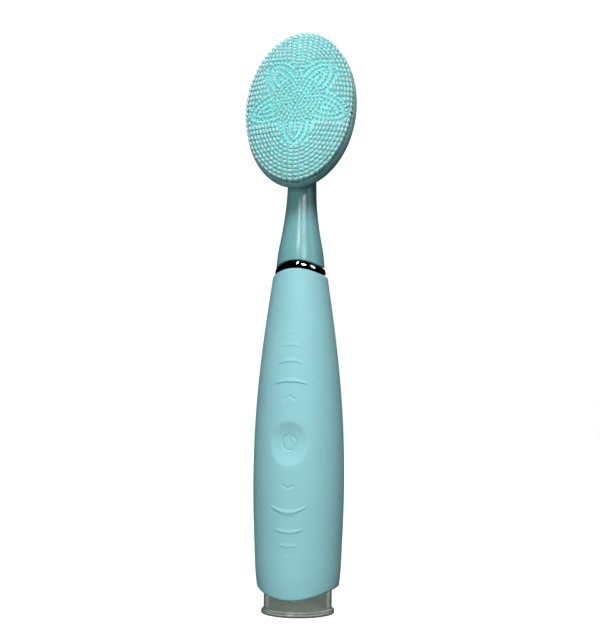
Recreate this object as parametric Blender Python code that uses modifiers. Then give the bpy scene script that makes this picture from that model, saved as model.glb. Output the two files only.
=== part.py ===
"""Facial cleansing brush: sonic silicone brush head on a battery handle, in a clear stand cup.

Frame: millimetres times MM, +Z up, front (buttons and bristles) towards -Y.
The origin is the centre of the stand's foot, on the surface that it stands on.
"""
from bisect import bisect_right
from math import cos, hypot, pi, radians, sin

import bmesh
import bpy
import numpy as np
from mathutils import Matrix, Vector

MM = 0.001
GAP = 0.3
RUNNING_GAP = 0.1
ROUND = 40
INNER_ROUND = 32
FINE_ROUND = 24

# Handle: outer radius at each height, and the thickness of its two skins.
HANDLE_STATIONS = ((7.5, 14.2), (12.0, 14.8), (24.0, 15.5), (50.0, 16.1), (71.0, 15.3), (92.5, 13.3),
                   (105.5, 11.6), (120.0, 9.5))
HANDLE_BOTTOM = 7.5
HANDLE_TOP = 119.9
SLEEVE_THICKNESS = 1.6
BARREL_THICKNESS = 1.6
BARREL_BOTTOM = 15.4
BARREL_TOP = 117.0
# Both ends of the sleeve are arched: front and back reach further out than the sides.
TOP_ARCH = 1.1
TOP_ARCH_FROM = 104.0
BOTTOM_ARCH = 1.7
BOTTOM_ARCH_TO = 24.0

# Stand
FOOT_RADIUS = 12.9
FOOT_THICKNESS = 1.4
CUP_RADIUS = 12.0
CUP_WALL = 1.3
CUP_HEIGHT = 13.6

# Trim ring
RING_LOW_RADIUS = 9.1
RING_TOP_RADIUS = 8.7
RING_BORE = 7.3
RING_HEIGHT = 2.3

# Buttons: name, height, half width and half height of the window.
BUTTONS = (("up", 75.6, 4.6, 3.5), ("power", 59.8, 6.9, 7.7), ("down", 45.1, 4.6, 3.5))
PAD_THICKNESS = 2.6
WINDOW_REACH = (-22.0, -6.0)
DISH_DEPTH = 1.3
DISH_RADIUS = 24.0
SYMBOL_DEPTH = 0.35

# Circuit board and switches (all along -Y from the board's front face)
BOARD_BACK = -6.6
BOARD_FRONT = -7.6
BOARD_HALF_WIDTH = 6.5
BOARD_LOW = 20.5
BOARD_HIGH = 80.0
SWITCH_HALF_WIDTH = 2.1
SWITCH_FRONT = -9.6
PLUNGER_RADIUS = 0.9
PLUNGER_FRONT = -10.4
POST_RADIUS = 1.8
SCREW_X = 4.5
SCREW_HEIGHTS = (21.2, 74.6)

# Battery and chassis
BATTERY_RADIUS = 7.0
BATTERY_LENGTH = 48.0
BATTERY_LOW = 23.7
BATTERY_Y = 2.8
CRADLE_INNER = 7.3
CRADLE_OUTER = 8.5
BULKHEADS = ((20.0, 22.5, 11.3), (73.0, 76.0, 10.8))
BULKHEAD_FRONT = -6.3

# Motor
CAN_RADIUS = 7.6
CAN_WALL = 0.7
CAN_LOW = 84.0
CAN_HIGH = 104.0
SHAFT_RADIUS = 1.5
SHAFT_LOW = 84.6
SHAFT_TOP = 142.0
BUSH_BORE = SHAFT_RADIUS + RUNNING_GAP

# Head: neck radius and backward lean of its centre line at each height.
NECK_STATIONS = ((122.0, 8.6), (126.6, 8.1), (135.0, 6.6), (143.8, 5.5), (152.0, 5.1), (161.0, 4.8),
                 (170.0, 4.0), (178.0, 2.2))
NECK_LEAN = ((122.0, 0.0), (136.0, 0.4), (150.0, 1.4), (160.0, 2.3), (170.0, 3.4), (178.0, 5.0))
NECK_TOP = 178.0
NECK_ARCH_TO = 137.0
NECK_CAVITY_RADIUS = 7.1
SOCKET_RADIUS = 2.7
SOCKET_LOW = 124.0
SOCKET_TOP = 145.0

FACE_HEIGHT = 179.45
FACE_FORWARD = 5.2
FACE_LEAN = radians(17.0)
FACE_HALF_WIDTH = 19.4
FACE_HALF_LENGTH = 29.6
RIM_FLARE = 0.55
PAD_DEPTH = 4.7
PAD_BULGE = 3.1
PAD_FACE = 3.2
PAD_SIDE_WALL = 1.5
SHELL_DEPTH = 7.5
SHELL_WALL = 1.6


def collection(name):
    """A collection of the scene, made new."""
    group = bpy.data.collections.new(name)
    bpy.context.scene.collection.children.link(group)
    return group


def clear_scene():
    """Remove every object of the scene that the script starts in."""
    for leftover in list(bpy.data.objects):
        bpy.data.objects.remove(leftover, do_unlink=True)


clear_scene()
PARTS = collection("facial_cleansing_brush")
CUTTERS = collection("cutters")


def material(name, colour, roughness, metallic=0.0, alpha=1.0):
    """A Principled material of one colour."""
    made = bpy.data.materials.new(name)
    made.use_nodes = True
    shader = made.node_tree.nodes["Principled BSDF"]
    shader.inputs["Base Color"].default_value = (*colour, 1.0)
    shader.inputs["Roughness"].default_value = roughness
    shader.inputs["Metallic"].default_value = metallic
    shader.inputs["Alpha"].default_value = alpha
    return made


MINT_SILICONE = material("mint_silicone", (0.36, 0.70, 0.72), 0.6)
AQUA_SILICONE = material("aqua_silicone", (0.20, 0.66, 0.62), 0.5)
TEAL_GLOSS = material("teal_gloss", (0.17, 0.40, 0.42), 0.15)
CLEAR_PLASTIC = material("clear_plastic", (0.75, 0.77, 0.75), 0.1, alpha=0.4)
CHROME = material("chrome", (0.85, 0.85, 0.86), 0.05, 1.0)
STEEL = material("steel", (0.55, 0.55, 0.56), 0.35, 1.0)
BRASS = material("brass", (0.72, 0.55, 0.28), 0.35, 1.0)
COPPER = material("copper", (0.72, 0.38, 0.22), 0.4, 1.0)
WHITE_PLASTIC = material("white_plastic", (0.80, 0.80, 0.78), 0.5)
GREY_PLASTIC = material("grey_plastic", (0.35, 0.37, 0.38), 0.55)
BLACK_PLASTIC = material("black_plastic", (0.03, 0.03, 0.03), 0.5)
BLACK_RUBBER = material("black_rubber", (0.02, 0.02, 0.02), 0.8)
FERRITE = material("ferrite", (0.10, 0.10, 0.11), 0.6)
BOARD_GREEN = material("board_green", (0.03, 0.22, 0.10), 0.45)
CELL_WRAP = material("cell_wrap", (0.10, 0.25, 0.50), 0.4)
RED_WIRE = material("red_wire", (0.60, 0.04, 0.03), 0.5)
BLACK_WIRE = material("black_wire", (0.02, 0.02, 0.02), 0.5)


# ---------------------------------------------------------------- shapes

def smooth_value(at, stations):
    """Value of a smooth curve through (position, value) stations, by cubic Hermite pieces."""
    places = [station[0] for station in stations]
    values = [station[1] for station in stations]
    slopes = np.gradient(values, places)
    k = min(max(bisect_right(places, at) - 1, 0), len(places) - 2)
    span = places[k + 1] - places[k]
    t = (at - places[k]) / span
    rise = (2 * t ** 3 - 3 * t ** 2 + 1) * values[k] + (3 * t ** 2 - 2 * t ** 3) * values[k + 1]
    bend = (t ** 3 - 2 * t ** 2 + t) * slopes[k] + (t ** 3 - t ** 2) * slopes[k + 1]
    return rise + bend * span


def handle_radius(height):
    """Outer radius of the handle."""
    return smooth_value(height, HANDLE_STATIONS)


def fade(value, start, end):
    """0 before start, 1 after end, smooth between; start may lie above end."""
    t = min(max((value - start) / (end - start), 0.0), 1.0)
    return t * t * (3 - 2 * t)


def steps_between(low, high, count):
    """Evenly spaced values from low to high, both included."""
    return [low + (high - low) * k / count for k in range(count + 1)]


def place(obj, look, smooth=True):
    """Put an object in the model's collection, with its material."""
    PARTS.objects.link(obj)
    if look:
        obj.data.materials.append(look)
    if smooth and obj.type == "MESH":
        obj.data.shade_smooth()
        obj.data.set_sharp_from_angle(angle=radians(35))
    return obj


def as_cutter(obj):
    """Mark an object as a cutting tool that isn't part of the model."""
    CUTTERS.objects.link(obj)
    obj.hide_render = True
    obj.display_type = "WIRE"
    return obj


def turned_object(name, profile, steps=ROUND):
    """A solid of revolution about Z. The profile's (radius, height) points run down the outer side."""
    mesh = bpy.data.meshes.new(name)
    points = [(radius * MM, 0.0, height * MM) for radius, height in profile]
    closed = profile[0][0] > 0.0
    edges = [(k, k + 1) for k in range(len(points) - 1)]
    if closed:
        edges.append((len(points) - 1, 0))
    mesh.from_pydata(points, edges, [])
    obj = bpy.data.objects.new(name, mesh)
    screw = obj.modifiers.new("turn", "SCREW")
    screw.axis = "Z"
    screw.steps = steps
    screw.render_steps = steps
    screw.use_merge_vertices = True
    screw.merge_threshold = 0.00001
    return obj


def turned(name, profile, look, steps=ROUND):
    """A turned piece of the model."""
    return place(turned_object(name, profile, steps), look, smooth=False)


def make_real(obj):
    """Replace an object's modifiers by the mesh that they give."""
    in_scene = bool(obj.users_collection)
    if not in_scene:
        CUTTERS.objects.link(obj)
    bpy.context.view_layer.update()
    depsgraph = bpy.context.evaluated_depsgraph_get()
    mesh = bpy.data.meshes.new_from_object(obj.evaluated_get(depsgraph))
    obj.modifiers.clear()
    obj.data = mesh
    if not in_scene:
        CUTTERS.objects.unlink(obj)
    return obj


def move_points(obj, rule):
    """Move each point of a mesh by a rule that takes and gives millimetres."""
    for vertex in obj.data.vertices:
        vertex.co = Vector(rule(*(vertex.co / MM))) * MM
    obj.data.update()
    return obj


def ring_profile(inner, outer, low, high):
    """Section of a plain ring."""
    return [(outer, high), (outer, low), (inner, low), (inner, high)]


def disc_profile(radius, low, high):
    """Section of a plain disc."""
    return [(0.0, high), (radius, high), (radius, low), (0.0, low)]


def box_object(name, low, high):
    """A box between two corners, in millimetres."""
    shape = bmesh.new()
    bmesh.ops.create_cube(shape, size=1.0)
    size = Vector(high) - Vector(low)
    middle = (Vector(high) + Vector(low)) / 2
    for vertex in shape.verts:
        vertex.co = Vector(c * s + m for c, s, m in zip(vertex.co, size, middle)) * MM
    mesh = bpy.data.meshes.new(name)
    shape.to_mesh(mesh)
    shape.free()
    return bpy.data.objects.new(name, mesh)


def box(name, low, high, look):
    """A box-shaped piece of the model."""
    return place(box_object(name, low, high), look, smooth=False)


def rod_along_y(name, radii, x, z, front, back, segments=FINE_ROUND):
    """A round or oval rod along Y, from front to back, with its half width and half height."""
    shape = bmesh.new()
    bmesh.ops.create_cone(shape, cap_ends=True, segments=segments, radius1=1.0, radius2=1.0, depth=1.0,
                          matrix=Matrix.Rotation(radians(90), 4, "X"))
    for vertex in shape.verts:
        along = (front + back) / 2 + vertex.co.y * (back - front)
        vertex.co = Vector((x + vertex.co.x * radii[0], along, z + vertex.co.z * radii[1])) * MM
    mesh = bpy.data.meshes.new(name)
    shape.to_mesh(mesh)
    shape.free()
    return bpy.data.objects.new(name, mesh)


def wire(name, points, radius, look):
    """A round wire through points, in millimetres."""
    curve = bpy.data.curves.new(name, "CURVE")
    curve.dimensions = "3D"
    curve.bevel_depth = radius * MM
    curve.bevel_resolution = 2
    curve.use_fill_caps = True
    spline = curve.splines.new("POLY")
    spline.points.add(len(points) - 1)
    for target, point in zip(spline.points, points):
        target.co = (*(Vector(point) * MM), 1.0)
    return place(bpy.data.objects.new(name, curve), look)


def soft_bend(corners, steps=3):
    """Points along a smooth curve that starts and ends at the first and last corner."""
    route = []
    padded = [corners[0], *corners, corners[-1]]
    for a, b, c, d in zip(padded, padded[1:], padded[2:], padded[3:]):
        a, b, c, d = Vector(a), Vector(b), Vector(c), Vector(d)
        for k in range(steps):
            t = k / steps
            straight = 2 * b + (c - a) * t
            curved = (2 * a - 5 * b + 4 * c - d) * t ** 2 + (3 * b - a - 3 * c + d) * t ** 3
            route.append((straight + curved) / 2)
    return [*route, Vector(corners[-1])]


def turned_forward(x, y, z):
    """Placing matrix that lays an object's own Z along -Y, at a point in millimetres."""
    return Matrix.Translation(Vector((x, y, z)) * MM) @ Matrix.Rotation(radians(90), 4, "X")


def boolean(obj, tool, operation="DIFFERENCE"):
    """Add a Boolean modifier with the exact solver."""
    step = obj.modifiers.new(operation.lower(), "BOOLEAN")
    step.operation = operation
    step.solver = "EXACT"
    step.object = tool
    return obj


def joint_empty(name, height, parent=None, y=0.0):
    """An empty on a joint's axis, which carries a moving body's pieces."""
    empty = bpy.data.objects.new(name, None)
    empty.location = Vector((0.0, y, height)) * MM
    PARTS.objects.link(empty)
    hold(parent, empty)
    return empty


def hold(parent, *children):
    """Parent objects and keep them where they are."""
    if parent is None:
        return
    bpy.context.view_layer.update()
    for child in children:
        child.parent = parent
        child.matrix_parent_inverse = parent.matrix_world.inverted()


# ---------------------------------------------------------------- stand

def make_stand():
    """Clear cup with a foot flange; the handle's plug and skirt sit in and over its wall."""
    inner = CUP_RADIUS - CUP_WALL
    outside = [(CUP_RADIUS - 0.3, CUP_HEIGHT), (CUP_RADIUS, CUP_HEIGHT - 0.3),
               (CUP_RADIUS, FOOT_THICKNESS + 0.4), (CUP_RADIUS + 0.4, FOOT_THICKNESS),
               (FOOT_RADIUS - 0.2, FOOT_THICKNESS), (FOOT_RADIUS, FOOT_THICKNESS - 0.3),
               (FOOT_RADIUS, 0.2), (FOOT_RADIUS - 0.2, 0.0), (0.0, 0.0)]
    inside = [(0.0, FOOT_THICKNESS), (inner - 0.8, FOOT_THICKNESS), (inner, FOOT_THICKNESS + 0.8),
              (inner, CUP_HEIGHT - 0.3), (inner + 0.3, CUP_HEIGHT)]
    return turned("stand_cup", inside + outside, CLEAR_PLASTIC)


# ---------------------------------------------------------------- handle skins

def arch_handle(x, y, z):
    """Arch both ends of a handle skin, keeping each point on the handle's outline."""
    radius = hypot(x, y)
    double_turn = (y * y - x * x) / (radius * radius)
    top = TOP_ARCH * fade(z, TOP_ARCH_FROM, HANDLE_TOP)
    bottom = BOTTOM_ARCH * fade(z, BOTTOM_ARCH_TO, HANDLE_BOTTOM)
    height = z + (top - bottom) * double_turn
    grown = (radius + handle_radius(height) - handle_radius(z)) / radius
    return x * grown, y * grown, height


def skin_profile(low, high, outer_inset, inner_inset, rows, edge=0.0):
    """Section of a skin that follows the handle's outline, with rounded outer corners."""
    heights = steps_between(high - edge, low + edge, rows)
    outside = [(handle_radius(z) - outer_inset, z) for z in heights]
    inside = [(handle_radius(z) - inner_inset, z) for z in steps_between(low, high, rows)]
    if edge:
        turns = [(edge * (1 - cos(radians(a))), edge * (1 - sin(radians(a)))) for a in (60, 30)]
        top_radius, bottom_radius = outside[0][0], outside[-1][0]
        top = [(top_radius - inward, high - down) for inward, down in turns]
        bottom = [(bottom_radius - inward, low + up) for inward, up in reversed(turns)]
        outside = top + outside + bottom
    return outside + inside


def window_cutter(name, height, half_width, half_height):
    """Oval hole through both skins of the handle for one button."""
    size = (half_width, half_height)
    return as_cutter(rod_along_y("window_" + name, size, 0.0, height, *WINDOW_REACH, INNER_ROUND))


def make_skins(windows):
    """Silicone sleeve and the hard barrel under it."""
    profile = skin_profile(HANDLE_BOTTOM, HANDLE_TOP, 0.0, SLEEVE_THICKNESS, 13, 0.9)
    sleeve = make_real(turned_object("handle_sleeve", profile))
    place(move_points(sleeve, arch_handle), MINT_SILICONE)
    outer = SLEEVE_THICKNESS + GAP
    profile = skin_profile(BARREL_BOTTOM, BARREL_TOP, outer, outer + BARREL_THICKNESS, 9)
    barrel = turned("inner_barrel", profile, WHITE_PLASTIC, INNER_ROUND)
    for skin in (sleeve, barrel):
        for window in windows:
            boolean(skin, window)
    return [sleeve, barrel]


def flat_outline(name, outline, thickness):
    """A flat curve object through (x, y) points, as thick as given, centred on its own plane."""
    curve = bpy.data.curves.new(name, "CURVE")
    curve.dimensions = "2D"
    curve.fill_mode = "BOTH"
    curve.extrude = thickness / 2 * MM
    spline = curve.splines.new("POLY")
    spline.use_cyclic_u = True
    spline.points.add(len(outline) - 1)
    for target, (x, y) in zip(spline.points, outline):
        target.co = (x * MM, y * MM, 0.0, 1.0)
    return bpy.data.objects.new(name, curve)


def chevron_cutter(name, height, direction):
    """Shallow chevron symbol, cut into a button's face; direction is 1 for up and -1 for down."""
    half_width, rise, stroke = 1.9, 1.05, 0.7
    lower = [(-half_width, -stroke / 2), (0.0, rise - stroke / 2), (half_width, -stroke / 2)]
    upper = [(half_width, stroke / 2), (0.0, rise + stroke / 2), (-half_width, stroke / 2)]
    thickness = 4.0
    obj = flat_outline(name, [(x, direction * y) for x, y in lower + upper], thickness)
    obj.rotation_euler = (radians(90), 0.0, 0.0)
    depth = handle_radius(height) - SYMBOL_DEPTH + thickness / 2
    obj.location = Vector((0.0, -depth, height)) * MM
    return as_cutter(mesh_from_curve(obj))


def mesh_from_curve(obj):
    """The mesh of a curve object, welded, in the curve's place."""
    CUTTERS.objects.link(obj)
    bpy.context.view_layer.update()
    depsgraph = bpy.context.evaluated_depsgraph_get()
    mesh = bpy.data.meshes.new_from_object(obj.evaluated_get(depsgraph))
    shape = bmesh.new()
    shape.from_mesh(mesh)
    bmesh.ops.remove_doubles(shape, verts=shape.verts, dist=0.000001)
    bmesh.ops.recalc_face_normals(shape, faces=shape.faces)
    shape.to_mesh(mesh)
    shape.free()
    solid = bpy.data.objects.new(obj.name + "_solid", mesh)
    solid.matrix_world = obj.matrix_world.copy()
    bpy.data.objects.remove(obj)
    return solid


def dish_cutter(height):
    """Ball that hollows the face of the button at this height."""
    shape = bmesh.new()
    bmesh.ops.create_uvsphere(shape, u_segments=96, v_segments=64, radius=DISH_RADIUS * MM)
    mesh = bpy.data.meshes.new("dish")
    shape.to_mesh(mesh)
    shape.free()
    ball = bpy.data.objects.new("dish", mesh)
    centre = handle_radius(height) - DISH_DEPTH + DISH_RADIUS
    ball.location = Vector((0.0, -centre, height)) * MM
    return as_cutter(ball)


def power_symbol_cutter(height):
    """Shallow ring and bar of the power symbol, cut into the dish."""
    face = handle_radius(height) - DISH_DEPTH - SYMBOL_DEPTH
    ring = make_real(turned_object("power_ring", ring_profile(2.0, 2.6, 0.0, 4.0), 32))
    ring.matrix_world = turned_forward(0.0, -face, height)
    bar = box_object("power_bar", (-0.3, -face - 4.0, height + 0.4), (0.3, -face, height + 3.4))
    return [as_cutter(ring), as_cutter(bar)]


def make_button(name, height, half_width, half_height):
    """Flexible button pad with the post that presses its switch."""
    low, high = height - half_height - 1.5, height + half_height + 1.5
    profile = skin_profile(low, high, 0.0, PAD_THICKNESS, 5)
    pad = place(turned_object("button_" + name, profile), MINT_SILICONE, smooth=False)
    size = (half_width - GAP, half_height - GAP)
    plug = rod_along_y("plug_" + name, size, 0.0, height, *WINDOW_REACH, 36)
    boolean(pad, as_cutter(plug), "INTERSECT")
    if name == "power":
        boolean(pad, dish_cutter(height))
        for tool in power_symbol_cutter(height):
            boolean(pad, tool)
    else:
        boolean(pad, chevron_cutter("chevron_" + name, height, 1 if name == "up" else -1))
    size = (POST_RADIUS, POST_RADIUS)
    front, back = PAD_THICKNESS - 0.5 - handle_radius(height), PLUNGER_FRONT - GAP
    post = rod_along_y("post_" + name, size, 0.0, height, front, back, 16)
    boolean(pad, as_cutter(post), "UNION")
    make_real(pad)
    pad.data.set_sharp_from_angle(angle=radians(35))
    return pad


# ---------------------------------------------------------------- handle ends

def make_top_end():
    """Chrome trim ring, top cap with its spigot, and the lip seal round the shaft."""
    low = HANDLE_TOP + GAP
    high = low + RING_HEIGHT
    profile = [(RING_TOP_RADIUS - 0.3, high), (RING_TOP_RADIUS, high - 0.25),
               (RING_TOP_RADIUS + 0.3, low + 1.1), (RING_LOW_RADIUS, low + 0.25),
               (RING_LOW_RADIUS - 0.3, low), (RING_BORE, low), (RING_BORE, high)]
    ring = make_real(turned_object("trim_ring", profile))
    place(move_points(ring, arch_ring), CHROME)
    flange = BARREL_TOP + GAP
    plug_radius = handle_radius(BARREL_TOP) - SLEEVE_THICKNESS - GAP - BARREL_THICKNESS - GAP
    profile = [(6.9, 121.0), (6.9, flange + 1.2), (7.6, flange + 1.2), (7.6, flange), (plug_radius, flange),
               (plug_radius, 112.8), (2.1, 112.8), (2.1, 121.0)]
    cap = turned("top_cap", profile, BLACK_PLASTIC, INNER_ROUND)
    profile = [(6.7, 111.6), (6.7, 108.2), (2.6, 108.2), (1.6, 109.4), (1.6, 110.0), (2.6, 111.6)]
    seal = turned("lip_seal", profile, BLACK_RUBBER, FINE_ROUND)
    return [ring, cap, seal]


def arch_ring(x, y, z):
    """Arch a whole ring as the top of the sleeve is arched."""
    double_turn = (y * y - x * x) / (x * x + y * y)
    return x, y, z + TOP_ARCH * double_turn


def make_bottom_end():
    """Bottom cap that plugs into the stand, its O-ring, and the charging coil on its ferrite."""
    outside = [(10.2, 19.0), (10.2, 15.1), (12.9, 15.1), (12.9, 13.9), (10.2, 13.9), (10.2, 7.9),
               (9.7, 7.4), (0.0, 7.4)]
    pocket = [(0.0, 8.6), (9.2, 8.6), (9.2, 19.0)]
    cap = turned("bottom_cap", pocket + outside, WHITE_PLASTIC, INNER_ROUND)
    seal_height = 17.2
    seal_radius, seal_thickness = 11.0, 0.45
    angles = [radians(angle) for angle in range(90, -270, -60)]
    section = [(seal_radius + seal_thickness * cos(a), seal_height + seal_thickness * sin(a))
               for a in angles]
    seal = turned("bottom_seal", section, BLACK_RUBBER, FINE_ROUND)
    coil = turned("charging_coil", ring_profile(4.0, 8.8, 9.0, 10.8), COPPER, INNER_ROUND)
    ferrite = turned("coil_ferrite", disc_profile(7.4, 11.1, 12.1), FERRITE, INNER_ROUND)
    return [cap, seal, coil, ferrite]


# ---------------------------------------------------------------- chassis, battery, board

def arc(radius, start, end, steps, centre_y):
    """Points on a circle about (0, centre_y), by angle in degrees."""
    turns = [radians(angle) for angle in steps_between(start, end, steps)]
    return [(radius * cos(a), centre_y + radius * sin(a)) for a in turns]


def make_chassis():
    """Open cradle round the battery, joined to a bulkhead at each end."""
    outer = arc(CRADLE_OUTER, -50, 230, 20, BATTERY_Y)
    inner = arc(CRADLE_INNER, 230, -50, 20, BATTERY_Y)
    low, high = BULKHEADS[0][1] - 0.5, BULKHEADS[1][0] + 0.5
    cradle = flat_outline("chassis_outline", outer + inner, high - low)
    cradle.location.z = (low + high) / 2 * MM
    chassis = mesh_from_curve(cradle)
    chassis.name = "chassis"
    place(chassis, GREY_PLASTIC, smooth=False)
    front_cut = as_cutter(box_object("bulkhead_front", (-20, -20, 0), (20, BULKHEAD_FRONT, 90)))
    for level, (bottom, top, radius) in enumerate(BULKHEADS):
        plate = turned_object("bulkhead_%d" % level, disc_profile(radius, bottom, top), 40)
        boolean(chassis, as_cutter(boolean(plate, front_cut)), "UNION")
    for name, x, z in screw_places():
        hole = rod_along_y("hole_" + name, (0.9, 0.9), x, z, BULKHEAD_FRONT - 1.0, -2.0, 12)
        boolean(chassis, as_cutter(hole))
    return chassis


def screw_places():
    """Name, x and z of the four board screws."""
    spots = [(x, z) for z in SCREW_HEIGHTS for x in (-SCREW_X, SCREW_X)]
    return [("board_screw_%d" % (k + 1), x, z) for k, (x, z) in enumerate(spots)]


def make_screw(name, x, z):
    """Pan-head screw through the board into a bulkhead."""
    head_back = BOARD_FRONT - 0.2
    profile = [(0.0, 0.9), (0.8, 0.85), (1.3, 0.4), (1.3, 0.0), (0.6, 0.0), (0.6, -4.6), (0.0, -5.2)]
    screw = turned(name, profile, STEEL, 12)
    screw.matrix_world = turned_forward(x, head_back, z)
    return screw


def make_battery():
    """Cell with its contact nub, its two end tabs and their leads to the board."""
    low, high = BATTERY_LOW, BATTERY_LOW + BATTERY_LENGTH
    r = BATTERY_RADIUS
    profile = [(0.0, high), (2.4, high), (2.6, high - 0.8), (r - 0.6, high - 0.8), (r, high - 1.4),
               (r, low + 0.4), (r - 0.4, low), (0.0, low)]
    cell = turned("battery", profile, CELL_WRAP, FINE_ROUND)
    top_tab = turned("battery_tab_positive", disc_profile(3.0, high + 0.3, high + 0.6), STEEL, FINE_ROUND)
    low_tab = turned("battery_tab_negative", disc_profile(4.0, low - 0.6, low - 0.3), STEEL, FINE_ROUND)
    for piece in (cell, top_tab, low_tab):
        piece.location.y = BATTERY_Y * MM
    near_board = BOARD_BACK + 0.7
    top = high + 0.45
    route = [(0, -0.7, top), (0, -3.0, top), (0, -4.9, top - 1.0), (0, near_board, top - 3.0)]
    lead_up = wire("battery_lead_positive", soft_bend(route), 0.35, RED_WIRE)
    bottom = low - 0.45
    route = [(0, -1.7, bottom), (0, -3.6, bottom + 0.1), (0, -5.1, bottom + 1.2),
             (0, near_board, bottom + 3.2)]
    lead_down = wire("battery_lead_negative", soft_bend(route), 0.35, BLACK_WIRE)
    return [cell, top_tab, low_tab, lead_up, lead_down]


def make_board():
    """Circuit board with its two chips, the indicator and its four screws."""
    low = (-BOARD_HALF_WIDTH, BOARD_FRONT, BOARD_LOW)
    high = (BOARD_HALF_WIDTH, BOARD_BACK, BOARD_HIGH)
    board = box("circuit_board", low, high, BOARD_GREEN)
    pieces = [board]
    for name, x, z in screw_places():
        hole = rod_along_y("clear_" + name, (0.9, 0.9), x, z, BOARD_FRONT - 1.0, BOARD_BACK + 1.0, 12)
        boolean(board, as_cutter(hole))
        pieces.append(make_screw(name, x, z))
    back = BOARD_BACK + 0.1
    chip = box("controller_chip", (-2.5, back, 55.5), (2.5, back + 0.9, 60.5), BLACK_PLASTIC)
    charger = box("charge_chip", (-1.5, back, 33.0), (1.5, back + 0.9, 36.0), BLACK_PLASTIC)
    front = BOARD_FRONT - 0.1
    lamp = box("indicator_led", (-0.8, front - 0.7, 67.4), (0.8, front, 68.4), WHITE_PLASTIC)
    return [*pieces, chip, charger, lamp]


def make_switch(name, height):
    """Tactile switch: a housing on the board and the plunger in its bore."""
    w = SWITCH_HALF_WIDTH
    low, high = (-w, SWITCH_FRONT, height - w), (w, BOARD_FRONT - 0.1, height + w)
    housing = box("switch_" + name, low, high, BLACK_PLASTIC)
    bore = PLUNGER_RADIUS + 0.2
    boolean(housing, as_cutter(rod_along_y("bore_" + name, (bore, bore), 0.0, height, -11.0, -7.0, 20)))
    size = (PLUNGER_RADIUS, PLUNGER_RADIUS)
    plunger = rod_along_y("plunger_" + name, size, 0.0, height, PLUNGER_FRONT, SWITCH_FRONT + 1.0, 20)
    return housing, place(plunger, WHITE_PLASTIC)


# ---------------------------------------------------------------- motor

def make_motor_body():
    """Can with its end plate, winding, bushes, rubber boot and leads: what stays still."""
    inner = CAN_RADIUS - CAN_WALL
    profile = [(CAN_RADIUS - 0.4, CAN_HIGH), (CAN_RADIUS, CAN_HIGH - 0.4), (CAN_RADIUS, CAN_LOW),
               (inner, CAN_LOW), (inner, CAN_HIGH - 1.2), (3.1, CAN_HIGH - 1.2), (3.1, CAN_HIGH)]
    can = turned("motor_can", profile, STEEL, INNER_ROUND)
    floor = CAN_LOW + 0.3
    profile = ring_profile(2.7, inner - GAP, floor, floor + 1.5)
    plate = turned("motor_end_plate", profile, WHITE_PLASTIC, INNER_ROUND)
    rear = turned("rear_bush", ring_profile(BUSH_BORE, 2.6, floor, floor + 2.3), BRASS, FINE_ROUND)
    profile = ring_profile(BUSH_BORE, 3.0, CAN_HIGH - 1.4, CAN_HIGH + 1.4)
    front = turned("front_bush", profile, BRASS, FINE_ROUND)
    winding = turned("stator_coil", ring_profile(4.7, 6.5, 88.0, 95.0), COPPER, INNER_ROUND)
    profile = ring_profile(CAN_RADIUS + 0.2, 9.0, 87.0, 95.0)
    boot = turned("motor_boot", profile, BLACK_RUBBER, INNER_ROUND)
    leads = []
    for k, (x, look) in enumerate(((-2.0, RED_WIRE), (2.0, BLACK_WIRE))):
        route = [(x, -3.6, CAN_LOW - 0.4), (x, -4.2, 82.2), (x, -5.4, 80.4), (x, BOARD_BACK + 0.7, 78.0)]
        leads.append(wire("motor_lead_%d" % (k + 1), soft_bend(route), 0.35, look))
    return [can, plate, rear, front, winding, boot, *leads]


def make_coil_leads():
    """The charging coil's two leads, up past the ferrite to the front of the board."""
    leads = []
    for k, x in enumerate((-2.2, 2.2)):
        route = [(x, -8.05, 11.2), (x, -8.15, 16.0), (x, -8.3, 20.0), (x, -8.3, 24.5)]
        leads.append(wire("coil_lead_%d" % (k + 1), soft_bend(route), 0.25, COPPER))
    return leads


def make_rotor():
    """Drive shaft with its magnet and the return spring: what turns to and fro."""
    profile = [(0.0, SHAFT_TOP), (SHAFT_RADIUS - 0.4, SHAFT_TOP), (SHAFT_RADIUS, SHAFT_TOP - 0.6),
               (SHAFT_RADIUS, SHAFT_LOW), (0.0, SHAFT_LOW)]
    shaft = turned("drive_shaft", profile, STEEL, FINE_ROUND)
    magnet = turned("rotor_magnet", ring_profile(BUSH_BORE, 4.2, 87.5, 95.5), FERRITE, INNER_ROUND)
    turns, steps_per_turn, radius = 3, 10, 2.7
    low, high = 96.4, 101.4
    count = turns * steps_per_turn
    route = []
    for k in range(count + 1):
        angle = 2 * pi * k / steps_per_turn
        route.append((radius * cos(angle), radius * sin(angle), low + (high - low) * k / count))
    spring = wire("return_spring", route, 0.3, STEEL)
    return [shaft, magnet, spring]


# ---------------------------------------------------------------- head

def shape_neck(x, y, z):
    """Arch the neck's lower edge and lean the neck back along its centre line."""
    radius = hypot(x, y)
    height = z
    if radius > 0.0:
        double_turn = (y * y - x * x) / (radius * radius)
        height = z + TOP_ARCH * double_turn * fade(z, NECK_ARCH_TO, HANDLE_TOP + RING_HEIGHT)
    return x, y + smooth_value(max(height, NECK_LEAN[0][0]), NECK_LEAN), height


def head_frame():
    """Empty at the centre of the bristle tips; its Z leaves the face and its Y runs up the face."""
    frame = bpy.data.objects.new("head_frame", None)
    frame.location = Vector((0.0, -FACE_FORWARD, FACE_HEIGHT)) * MM
    frame.rotation_euler = (radians(90) - FACE_LEAN, 0.0, 0.0)
    PARTS.objects.link(frame)
    bpy.context.view_layer.update()
    return frame


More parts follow.
